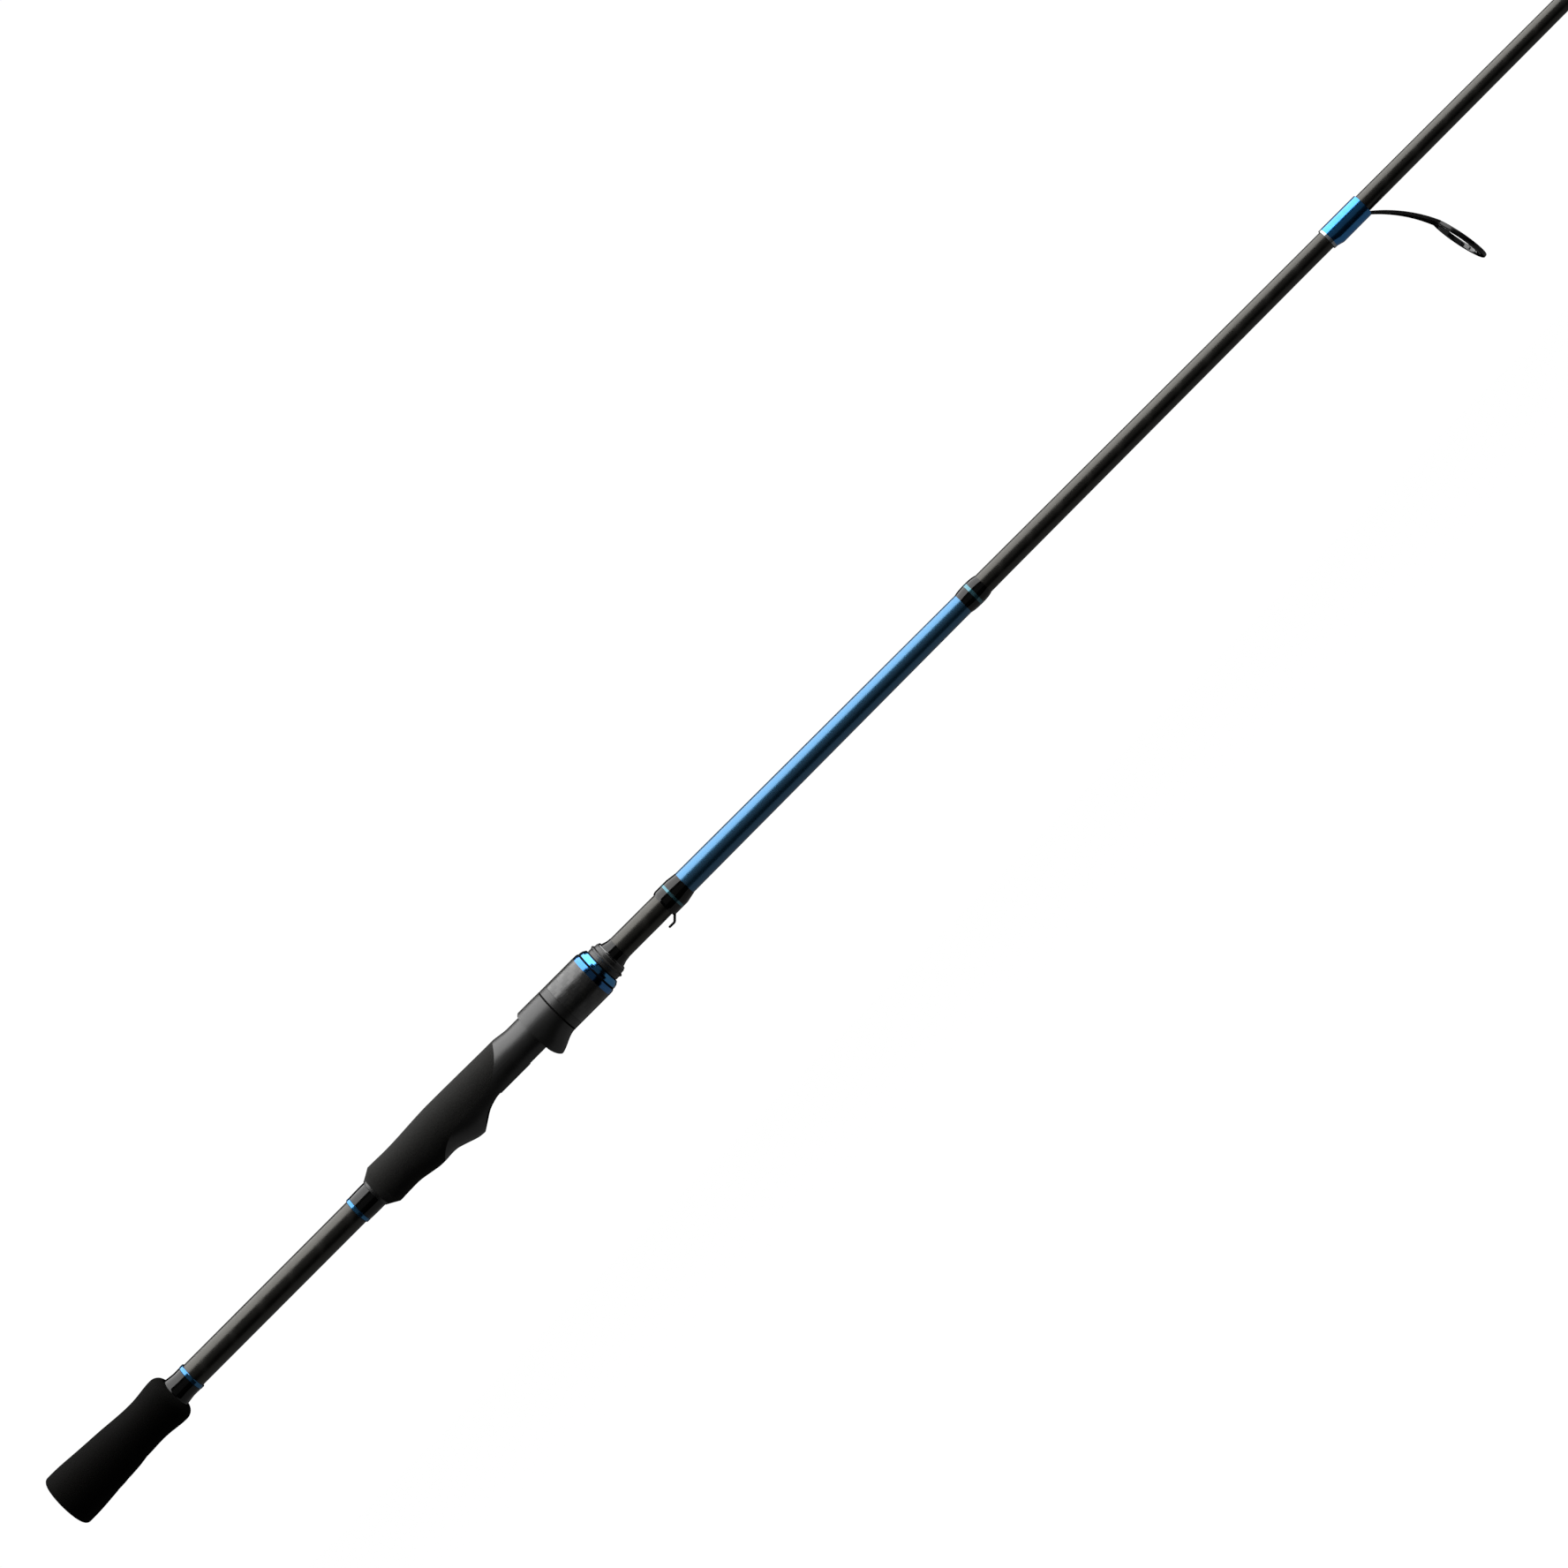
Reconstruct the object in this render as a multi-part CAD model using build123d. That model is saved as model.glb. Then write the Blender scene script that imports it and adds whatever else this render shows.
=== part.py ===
"""A one-piece 2.14 m spinning rod: handle, reel seat, hook keeper, eight line guides and a tip top.

Frame, in millimetres: +X runs from the butt to the tip along the blank's axis, +Z is up and the
guides hang towards -Z. The origin is the centre of the flat butt end.
"""
from build123d import *
from math import cos, radians, sin, sqrt
import os

# ---------------------------------------------------------------- driving sizes
TIP_X = 2134.0                 # guides are placed back from here, 1.4 mm past the tip ring's front
BUTT_X = -3.6                  # butt end face; every station counts from a line just inside the grip
BLANK_BUTT_R = 6.2             # outer radius of the blank inside the handle
BLANK_TIP_R = 0.95
BLANK_WALL_BUTT = 1.2
BLANK_WALL_TIP = 0.45
LABEL_SKIN = 0.12              # thickness of the painted label sleeve

GRIP_BUTT_R = 13.6             # butt grip at its flat end
GRIP_FRONT = 65.9              # front edge of the butt grip
REAR_GRIP_START = 192.9        # rear edge of the fore handle
BUTT_TRIM = (74.9, 77.0)       # blue ring at the front of the butt wrap
REAR_TRIM = (180.0, 182.1)     # blue ring behind the rear wrap
REAR_WRAP_END = 191.3          # front of the rear wrap, where the winding check begins
WRAP_R = 6.72                  # outside of both gloss wraps at the blue rings
HANDLE_START = 197.3           # front of the foam's rear chamfer
HANDLE_END = 277.0             # where the bare barrel begins
HANDLE_R = 11.3                # foam and fixed hood at their fullest, above and at the sides
FIXED_PEAK = 245.0             # lowest point of the fixed hood

SEAT_BORE_R = 6.95
SEAT_TAIL_R = 9.0              # sleeve of the seat inside the foam
SEAT_TAIL_START = 206.0
SEAT_END = 334.2
BARREL_R = 10.0                # smooth barrel under the sliding hood
BARREL_END = 299.5
SADDLE_Z = -8.05               # flat that the reel foot and the hood's key run on
LANDING_RISE = 0.3
LANDING = (263.0, 281.0)
LANDING_WIDTH = 10.0

THREAD_PITCH = 2.5
THREAD_ROOT_R = 8.5
THREAD_CREST_R = 9.1
THREAD_CLEAR = 0.2
THREAD_START = 301.25
THREAD_TURNS = 11

HOOD_MOUTH = 292.1
HOOD_END = 306.1
HOOD_R = 11.6
HOOD_BORE_R = 10.25
KEY_CLEAR = 0.15
NUT_START = 306.5
NUT_END = 334.1
NUT_R = 11.5
COLLAR = (334.4, 340.1)
FORE_WRAP_END = 345.4
ARBORS = ((209.0, 223.0), (256.0, 270.0), (312.0, 326.0))

KEEPER_WRAP = (372.8, 386.2)
LABEL = (386.2, 560.8)
LABEL_WRAP = (560.8, 573.2)
LABEL_RING = (566.2, 567.8)

# Where the blank's taper changes: station, outer radius.
BLANK_STATIONS = (
    (6.0, BLANK_BUTT_R),
    (192.9, BLANK_BUTT_R),
    (365.0, 5.8),
    (575.0, 5.05),
    (784.0, 4.5),
    (2126.0, BLANK_TIP_R),
)
BLANK_START = BLANK_STATIONS[0][0]
BLANK_END = BLANK_STATIONS[-1][0]

# Line guides from the butt to the tip: distance of the ring from the tip, ring bore radius,
# frame hoop radius, height of the ring centre above the blank's surface, wrap length.
GUIDES = (
    (1305.0, 10.2, 14.2, 36.4, 22.0),
    (1035.0, 5.9, 8.8, 22.0, 18.0),
    (815.0, 3.6, 5.8, 13.6, 15.0),
    (625.0, 2.75, 4.8, 9.8, 13.0),
    (465.0, 1.95, 3.8, 7.2, 11.0),
    (330.0, 1.95, 3.8, 7.0, 11.0),
    (213.0, 1.95, 3.8, 6.8, 10.0),
    (110.0, 1.95, 3.8, 6.6, 10.0),
)
GUIDE_TILT = 10.6              # degrees that the lower edge of each ring leans to the tip
TRIM_BAND = 1.2


# ---------------------------------------------------------------- small helpers
def blank_r(x):
    """Outer radius of the blank at a distance from the butt."""
    for (x0, r0), (x1, r1) in zip(BLANK_STATIONS, BLANK_STATIONS[1:]):
        if x <= x1:
            return r0 + (r1 - r0) * (x - x0) / (x1 - x0)
    return BLANK_TIP_R


def on_side(points):
    """Turn (x, z) pairs into points on the rod's vertical plane of symmetry."""
    return [Vector(x, 0, z) for x, z in points]


def side_face(*edges):
    """Face on the plane of symmetry from edges that close end to end."""
    return make_face(Curve() + list(edges))


def side_line(*points):
    return Polyline(*on_side(points))


def side_curve(*points, tangents=None):
    directions = [Vector(x, 0, z) for x, z in tangents] if tangents else ()
    return Spline(*on_side(points), tangents=directions)


def side_prism(face, half_width):
    """Face on the plane of symmetry, thickened equally to both sides."""
    return extrude(face, amount=half_width, dir=(0, 1, 0), both=True)


def turned(*edges):
    """Solid of revolution about the blank's axis."""
    return revolve(side_face(*edges), Axis.X)


def turned_line(*points):
    return turned(side_line(*points, points[0]))


def sleeve(x0, x1, rise0, rise1=None):
    """Tube on the blank, whose outside stands rise0 to rise1 proud of the blank."""
    end_rise = rise0 if rise1 is None else rise1
    return turned_line(
        (x0, blank_r(x0)),
        (x0, blank_r(x0) + rise0),
        (x1, blank_r(x1) + end_rise),
        (x1, blank_r(x1)),
    )


def blank_core(x0, x1):
    """The stretch of blank between two distances, as a solid bar."""
    between = [(x, r) for x, r in BLANK_STATIONS if x0 < x < x1]
    return turned_line((x0, 0), (x0, blank_r(x0)), *between, (x1, blank_r(x1)), (x1, 0))


def eased(keys, x):
    """Value at x on a curve that runs level through each (x, value) key and eases between them."""
    for (x0, v0), (x1, v1) in zip(keys, keys[1:]):
        if x <= x1:
            t = max(0.0, (x - x0) / (x1 - x0))
            return v0 + (v1 - v0) * t * t * (3 - 2 * t)
    return keys[-1][1]


def slab(x0, x1, size=80.0):
    """Everything between two distances along the rod."""
    return Pos((x0 + x1) / 2, 0, 0) * Box(x1 - x0, size, size)


def egg(x, side, depth):
    """Cross-section: a half circle above and a half ellipse of the given depth below."""
    plane = Plane(origin=(x, 0, 0), x_dir=(0, 1, 0), z_dir=(1, 0, 0))
    upper = EllipticalCenterArc((0, 0), side, side, start_angle=0, arc_size=180)
    lower = EllipticalCenterArc((0, 0), side, depth, start_angle=180, arc_size=180)
    return plane * make_face(Curve() + [upper, lower])


def egg_loft(*stations, ruled=False):
    return loft([egg(*station) for station in stations], ruled=ruled)


def bar(start, end, radius):
    """Round bar between two points."""
    along = Vector(*end) - Vector(*start)
    return extrude(Plane(origin=start, z_dir=along) * Circle(radius), amount=along.length)


def save(solid, node, count=1):
    """Write one node with the butt face at x = 0, after a check of its number of solids."""
    pieces = (Pos(-BUTT_X, 0, 0) * solid).solids()
    if len(pieces) != count:
        print("WARNING", node, "has", len(pieces), "solids, expected", count)
    shape = pieces[0] if len(pieces) == 1 else Compound(children=list(pieces))
    shape.label = node
    export_step(shape, os.path.join("parts", node + ".step"))


# ---------------------------------------------------------------- blank and butt
def blank():
    """Hollow tapered graphite tube."""
    span = BLANK_END - BLANK_START
    inner = []
    for x, r in BLANK_STATIONS:
        share = (x - BLANK_START) / span
        wall = BLANK_WALL_BUTT + (BLANK_WALL_TIP - BLANK_WALL_BUTT) * share
        inner.append((x, r - wall))
    return turned_line(*BLANK_STATIONS, *reversed(inner))


def butt_grip():
    """Turned foam grip with a flat end, a waist and a rounded front collar."""
    edge = 2.0
    land_end = BUTT_X + 4.6
    waist = side_curve(
        (land_end, GRIP_BUTT_R),
        (15.6, 12.75),
        (31.2, 11.75),
        (51.5, 10.9),
        (61.2, 11.8),
        tangents=((1, 0), (1, 0)),
    )
    nose = side_curve((61.2, 11.8), (64.4, 10.7), (GRIP_FRONT, 8.2), tangents=((1, 0), (0.2, -1)))
    corner = ThreePointArc(
        *on_side((
            (BUTT_X, GRIP_BUTT_R - edge),
            (BUTT_X + edge - edge * sqrt(0.5), GRIP_BUTT_R - edge + edge * sqrt(0.5)),
            (BUTT_X + edge, GRIP_BUTT_R),
        ))
    )
    body = turned(
        side_line((BUTT_X, 0), (BUTT_X, GRIP_BUTT_R - edge)),
        corner,
        side_line((BUTT_X + edge, GRIP_BUTT_R), (land_end, GRIP_BUTT_R)),
        waist,
        nose,
        side_line((GRIP_FRONT, 8.2), (GRIP_FRONT, 0), (BUTT_X, 0)),
    )
    return body - blank_core(BLANK_START, GRIP_FRONT)


def butt_wrap():
    """Gloss thread wrap in front of the butt grip, with a fillet against the foam."""
    end = BUTT_TRIM[0]
    fillet_curve = side_curve(
        (GRIP_FRONT, 8.0), (67.6, 7.1), (70.4, 6.75), (end, WRAP_R), tangents=((0.3, -1), (1, 0))
    )
    return turned(
        side_line((GRIP_FRONT, blank_r(GRIP_FRONT)), (GRIP_FRONT, 8.0)),
        fillet_curve,
        side_line((end, WRAP_R), (end, blank_r(end)), (GRIP_FRONT, blank_r(GRIP_FRONT))),
    )


def trim_ring(x0, x1, rise):
    """Metallic trim ring with softened edges."""
    edge = 0.25
    return turned_line(
        (x0, blank_r(x0)),
        (x0, blank_r(x0) + rise - edge),
        (x0 + edge, blank_r(x0) + rise),
        (x1 - edge, blank_r(x1) + rise),
        (x1, blank_r(x1) + rise - edge),
        (x1, blank_r(x1)),
    )


def rear_wrap():
    """Gloss wrap behind the fore handle, slightly crowned."""
    x0 = REAR_TRIM[1]
    x1 = REAR_WRAP_END
    crown = side_curve((x0, WRAP_R), (186.5, 6.86), (x1, 6.84))
    return turned(
        side_line((x0, blank_r(x0)), (x0, WRAP_R)),
        crown,
        side_line((x1, 6.84), (x1, blank_r(x1)), (x0, blank_r(x0))),
    )


def rear_winding_check():
    """Thin conical collar that closes the rear end of the foam."""
    return turned_line(
        (REAR_WRAP_END, blank_r(REAR_WRAP_END)),
        (REAR_WRAP_END, 7.0),
        (REAR_WRAP_END + 0.4, 7.3),
        (REAR_GRIP_START, 7.9),
        (REAR_GRIP_START, blank_r(REAR_GRIP_START)),
    )


# ---------------------------------------------------------------- handle and reel seat
def handle_outside():
    """Outer shape that the foam and the fixed hood share: round above, bulging below."""
    above = ((HANDLE_START, 10.4), (208.0, 10.2), (236.0, HANDLE_R), (HANDLE_END, 10.95))
    below = ((HANDLE_START, 10.4), (208.0, 10.2), (223.0, 12.1), (229.5, 11.8), (FIXED_PEAK, 15.5),
             (HANDLE_END, 10.95))
    steps = 26
    stations = [HANDLE_START + (HANDLE_END - HANDLE_START) * i / steps for i in range(steps + 1)]
    return egg_loft(*[(x, eased(above, x), eased(below, x)) for x in stations])


def seat_side():
    """Everything below and in front of the curved line where foam gives way to plastic."""
    line = side_curve(
        (222.6, -14.0),
        (227.5, -9.2),
        (234.0, -5.9),
        (249.0, -3.8),
        (261.0, -2.4),
        (268.5, 1.4),
        (277.5, 14.0),
    )
    return side_prism(side_face(line, side_line((277.5, 14.0), (300, 14), (300, -20), (222.6, -20),
                                                (222.6, -14.0))), 20)


def seat_tail():
    """The sleeve of the seat that the foam is glued on, as a solid bar."""
    end = HANDLE_END + 10
    return turned_line((SEAT_TAIL_START, 0), (SEAT_TAIL_START, SEAT_TAIL_R), (end, SEAT_TAIL_R), (end, 0))


def rear_grip():
    """Foam of the fore handle: chamfered rear, bored over the blank and the seat's tail."""
    body = handle_outside() - seat_side()
    body += turned_line(
        (REAR_GRIP_START, 0), (REAR_GRIP_START, 7.9), (HANDLE_START, 10.4), (HANDLE_START, 0)
    )
    return body - blank_core(REAR_GRIP_START - 1, SEAT_TAIL_START) - seat_tail()


def thread_ridge(start, turns, root_r, crest_r, sink, base, top):
    """Helical ridge from root to crest radius, sunk a little into the wall it grows from."""
    outward = 1 if crest_r > root_r else -1
    path = Helix(
        pitch=THREAD_PITCH,
        height=THREAD_PITCH * turns,
        radius=root_r,
        center=(start, 0, 0),
        direction=(1, 0, 0),
    )
    first = path @ 0
    radial = Vector(0, first.Y, first.Z).normalized()
    plane = Plane(origin=first, x_dir=radial, z_dir=path % 0)
    deep = -outward * sink
    high = crest_r - root_r
    flare = (base - top) / 2 * sink / abs(high)
    section = Polyline(
        (deep, -base / 2 - flare),
        (high, -top / 2),
        (high, top / 2),
        (deep, base / 2 + flare),
        close=True,
    )
    return sweep(plane * make_face(section), path=path, is_frenet=True)


def fixed_pocket():
    """Space under the fixed hood that takes the rear end of a reel foot."""
    hollow = egg_loft((231.0, 9.3, 10.2), (236.0, 9.6, 11.9), (245.0, 9.7, 14.0), (262.0, 9.7, 15.0))
    floor = Pos(246, 0, SADDLE_Z - 20) * Box(60, 60, 40)
    return hollow & floor


def reel_seat():
    """Seat body: tail sleeve, fixed hood, barrel with a flat saddle, external thread."""
    bore = SEAT_BORE_R
    barrel = turned_line(
        (SEAT_TAIL_START, bore),
        (SEAT_TAIL_START, SEAT_TAIL_R),
        (HANDLE_END, SEAT_TAIL_R),
        (HANDLE_END, 10.95),
        (283.0, 10.1),
        (284.5, BARREL_R),
        (BARREL_END, BARREL_R),
        (BARREL_END + 0.5, THREAD_ROOT_R),
        (330.2, THREAD_ROOT_R),
        (330.6, 8.2),
        (SEAT_END, 8.2),
        (SEAT_END, bore),
    )
    shell = handle_outside() & seat_side()
    shell -= turned_line(
        (HANDLE_START, 0), (HANDLE_START, bore), (HANDLE_END + 1, bore), (HANDLE_END + 1, 0)
    )
    ridge = thread_ridge(
        THREAD_START, THREAD_TURNS, THREAD_ROOT_R, THREAD_CREST_R, sink=0.3, base=1.2, top=0.6
    )
    body = barrel + shell + ridge
    lip = side_curve(
        (244.4, -16.6), (249.6, -12.6), (253.5, -10.1), (257.4, -8.7), (262.0, SADDLE_Z),
        tangents=((0.7, 0.7), (1, 0)),
    )
    mouth = side_face(
        lip, side_line((262.0, SADDLE_Z), (340, SADDLE_Z), (340, -20), (244.4, -20), (244.4, -16.6))
    )
    body -= side_prism(mouth, 20)
    body -= fixed_pocket()
    pad_length = LANDING[1] - LANDING[0]
    pad_centre = (LANDING[0] + LANDING[1]) / 2
    pad = Pos(pad_centre, 0, SADDLE_Z) * Box(pad_length, LANDING_WIDTH, 2 * LANDING_RISE)
    return body + fillet(pad.edges().filter_by(Axis.Z), 2.0)


def seat_arbor(x0, x1):
    """Bushing ring that centres the seat on the blank."""
    return turned_line((x0, blank_r(x0)), (x0, SEAT_BORE_R), (x1, SEAT_BORE_R), (x1, blank_r(x1)))


def moving_hood():
    """Sliding hood: bored for the barrel, keyed on the saddle, open towards the butt below."""
    outside = egg_loft(
        (HOOD_MOUTH - 0.6, HOOD_R, 14.9),
        (295.2, HOOD_R, 15.1),
        (300.3, HOOD_R, 13.1),
        (HOOD_END, HOOD_R - 0.1, HOOD_R - 0.1),
    )
    lip = side_curve(
        (HOOD_MOUTH, -8.0), (HOOD_MOUTH + 0.5, -11.6), (HOOD_MOUTH + 1.5, -14.0), (295.4, -15.9),
        tangents=((0, -1), (1, -0.7)),
    )
    front = side_face(
        side_line((293.9, 12.5), (HOOD_MOUTH, 10.5), (HOOD_MOUTH, -8.0)),
        lip,
        side_line((295.4, -15.9), (288, -15.9), (288, 12.5), (293.9, 12.5)),
    )
    outside -= side_prism(front, 20)
    tail = turned_line(
        (HOOD_END - 2, HOOD_BORE_R),
        (HOOD_END - 2, 10.6),
        (309.2, 10.6),
        (309.3, 10.85),
        (310.0, 10.7),
        (310.0, HOOD_BORE_R),
    )
    bore = turned_line((280, 0), (280, HOOD_BORE_R), (312, HOOD_BORE_R), (312, 0))
    key_z = SADDLE_Z - KEY_CLEAR
    above_key = Pos(296, 0, key_z + 20) * Box(40, 60, 40)
    pocket = egg_loft((290.0, 9.9, 13.8), (295.0, 9.9, 13.6), (299.0, 9.7, 11.9), (302.5, 9.3, 9.6))
    below_key = Pos(296, 0, key_z + 0.05 - 20) * Box(40, 60, 40)
    tail_bore = turned_line((HOOD_END, 0), (HOOD_END, HOOD_BORE_R), (312, HOOD_BORE_R), (312, 0))
    return outside + tail - (bore & above_key) - (pocket & below_key) - tail_bore


# ---------------------------------------------------------------- clamping nut
CORE_R = 10.6                  # under the pattern sleeve
NUT_BORE_R = THREAD_CREST_R + THREAD_CLEAR
GROOVE_R = 10.98
SLEEVE = (310.4, 327.6)
REAR_RING_END = 330.3
FRONT_RING_START = 331.1
SPIGOT_R = 9.75
SPIGOT_END = 332.4


def nut_core():
    """Threaded core with a smooth rear collar that snaps over the hood's tail."""
    body = turned_line(
        (NUT_START, 10.72),
        (NUT_START, NUT_R - 0.2),
        (NUT_START + 0.2, NUT_R),
        (SLEEVE[0], NUT_R),
        (SLEEVE[0], CORE_R),
        (FRONT_RING_START, CORE_R),
        (FRONT_RING_START, SPIGOT_R),
        (SPIGOT_END, SPIGOT_R),
        (SPIGOT_END, NUT_BORE_R),
        (310.2, NUT_BORE_R),
        (310.2, GROOVE_R),
        (309.0, GROOVE_R),
        (309.0, 10.72),
    )
    crest = THREAD_ROOT_R + THREAD_CLEAR
    start = THREAD_START + THREAD_PITCH * 5.5
    ridge = thread_ridge(start, 4, NUT_BORE_R, crest, 0.3, 1.2, 0.6)
    return body + ridge


def nut_pattern_sleeve():
    """Carbon-look sleeve glued round the core."""
    return turned_line(
        (SLEEVE[0], CORE_R), (SLEEVE[0], NUT_R - 0.1), (SLEEVE[0] + 0.1, NUT_R),
        (SLEEVE[1], NUT_R), (SLEEVE[1], CORE_R),
    )


def nut_rear_ring():
    """First anodised ring, level with the sleeve and eased at its front."""
    return turned_line(
        (SLEEVE[1], CORE_R), (SLEEVE[1], NUT_R), (329.4, NUT_R - 0.05), (REAR_RING_END, 11.15),
        (REAR_RING_END, CORE_R),
    )


def nut_front_ring():
    """Second anodised ring, tapering to close the front of the nut."""
    return turned_line(
        (FRONT_RING_START, SPIGOT_R),
        (FRONT_RING_START, 10.75),
        (FRONT_RING_START + 0.2, 10.9),
        (332.7, 10.6),
        (NUT_END, 9.75),
        (NUT_END, NUT_BORE_R),
        (SPIGOT_END, NUT_BORE_R),
        (SPIGOT_END, SPIGOT_R),
    )


# ---------------------------------------------------------------- in front of the seat
def front_collar():
    """Stepped collar that trims the front of the seat."""
    x0, x1 = COLLAR
    return turned_line(
        (x0, blank_r(x0)), (x0, 8.55), (334.7, 8.85), (336.3, 8.85), (337.1, 9.35), (337.5, 9.3),
        (337.9, 8.75), (338.1, 8.45), (339.7, 8.35), (x1, 8.0), (x1, blank_r(x1)),
    )


def fore_wrap():
    """Gloss thread and epoxy cone from the collar down to the blank."""
    x0 = COLLAR[1]
    x1 = FORE_WRAP_END
    cone = side_curve((x0, 7.75), (341.7, 6.75), (343.4, 6.2), (x1, blank_r(x1) + 0.12),
                      tangents=((0.4, -1), (1, -0.05)))
    return turned(
        side_line((x0, blank_r(x0)), (x0, 7.75)),
        cone,
        side_line((x1, blank_r(x1) + 0.12), (x1, blank_r(x1)), (x0, blank_r(x0))),
    )


KEEPER_WIRE_R = 0.55
KEEPER_LEG_Y = 1.5
KEEPER_LEG_END = 381.2
KEEPER_BOW_X = 367.9
KEEPER_BOW_Z = -9.1
KEEPER_TRIM = (378.0, 379.2)


def hook_keeper():
    """U-shaped wire: both legs, ground flat, lie under the wrap; the bow stands off towards the butt."""
    x_out = 372.9
    ground_flat = 0.36
    lie = -(blank_r(KEEPER_LEG_END) + KEEPER_WIRE_R - ground_flat)
    low = KEEPER_BOW_Z
    y = KEEPER_LEG_Y
    path = FilletPolyline(
        Vector(KEEPER_LEG_END, y, lie),
        Vector(x_out + 1.2, y, lie - 0.05),
        Vector(370.9, y, low),
        Vector(KEEPER_BOW_X, y, low),
        Vector(KEEPER_BOW_X, -y, low),
        Vector(370.9, -y, low),
        Vector(x_out + 1.2, -y, lie - 0.05),
        Vector(KEEPER_LEG_END, -y, lie),
        radius=1.2,
    )
    start = Plane(origin=path @ 0, z_dir=path % 0)
    wire = sweep(start * Circle(KEEPER_WIRE_R), path=path)
    return wire - blank_core(KEEPER_WRAP[0] - 5, KEEPER_WRAP[1] + 5)


def keeper_wrap_shape(shrink=0.0):
    side = 6.6 - shrink
    depth = 7.0 - shrink
    x0, x1 = KEEPER_WRAP
    return egg_loft(
        (x0, blank_r(x0) + 0.35, 6.75 - shrink),
        (x0 + 1.2, side, depth),
        (x1 - 5.0, side, depth),
        (x1, blank_r(x1) + 0.2, blank_r(x1) + 0.25),
        ruled=True,
    )


def keeper_trim_ring():
    """Pale thread band inlaid in the keeper wrap."""
    skin = keeper_wrap_shape() - keeper_wrap_shape(0.25)
    return skin & slab(*KEEPER_TRIM)


def keeper_wrap():
    core = blank_core(KEEPER_WRAP[0] - 5, KEEPER_WRAP[1] + 5)
    return keeper_wrap_shape() - core - hook_keeper() - keeper_trim_ring()


def label_sleeve():
    """Thin metallic sleeve round the blank, from the keeper wrap to the label end wrap."""
    return sleeve(LABEL[0], LABEL[1], LABEL_SKIN)


def label_end_ring():
    x0, x1 = LABEL_RING
    crown = 0.75
    skin = 0.25
    return turned_line(
        (x0, blank_r(x0) + crown - skin), (x0, blank_r(x0) + crown + 0.02),
        (x1, blank_r(x1) + crown + 0.02), (x1, blank_r(x1) + crown - skin),
    )


def label_end_wrap():
    """Crowned gloss wrap that ends the label section."""
    x0, x1 = LABEL_WRAP
    crown = side_curve(
        (x0, blank_r(x0) + 0.18), (x0 + 2.5, blank_r(x0 + 2.5) + 0.6),
        (x0 + 6.2, blank_r(x0 + 6.2) + 0.76), (x1 - 2.5, blank_r(x1 - 2.5) + 0.62),
        (x1, blank_r(x1) + 0.12),
    )
    body = turned(
        side_line((x0, blank_r(x0)), (x0, blank_r(x0) + 0.18)),
        crown,
        side_line((x1, blank_r(x1) + 0.12), (x1, blank_r(x1)), (x0, blank_r(x0))),
    )
    return body - label_end_ring()


# ---------------------------------------------------------------- line guides
ARM_ANGLE = 38                 # degrees round the hoop from its top to each arm
LEG_RUN = 0.69                 # how far the leg runs forward for each millimetre it drops
LEG_BOW = 0.045                # how far the leg bows towards the blank, as a part of its drop


class Guide:
    """Sizes of one single-foot guide, worked out from its row in GUIDES."""

    def __init__(self, from_tip, bore_r, hoop_r, height, wrap_length):
        self.ring_x = TIP_X - from_tip
        self.surface_r = blank_r(self.ring_x)
        self.bore_r = bore_r
        self.hoop_r = hoop_r
        self.ring_z = -(self.surface_r + height)
        self.hoop_wall = 0.55 + 0.1 * hoop_r
        self.thick = 0.7 + 0.08 * hoop_r
        self.plate = 0.45 + 0.045 * hoop_r
        tilt = radians(GUIDE_TILT)
        self.down = (sin(tilt), -cos(tilt))
        self.normal = (cos(tilt), sin(tilt))
        self.join = self.toward_blank(self.hoop_r * cos(radians(ARM_ANGLE)))
        drop = -self.surface_r - self.join[1]
        self.foot_end = self.join[0] - LEG_RUN * drop
        self.wrap_start = self.foot_end - wrap_length
        self.wrap_end = self.foot_end

    def toward_blank(self, distance):
        """Point in the ring's plane, above its centre."""
        return (self.ring_x - self.down[0] * distance, self.ring_z - self.down[1] * distance)

    def ring_plane(self):
        return Plane(
            origin=(self.ring_x, 0, self.ring_z),
            x_dir=(0, 1, 0),
            z_dir=(self.normal[0], 0, self.normal[1]),
        )


def ring_stock(plane, outer_r, inner_r, thickness):
    """Flat ring centred on a plane."""
    face = plane * (Circle(outer_r) - Circle(inner_r))
    return extrude(face, amount=thickness / 2, both=True)


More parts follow.
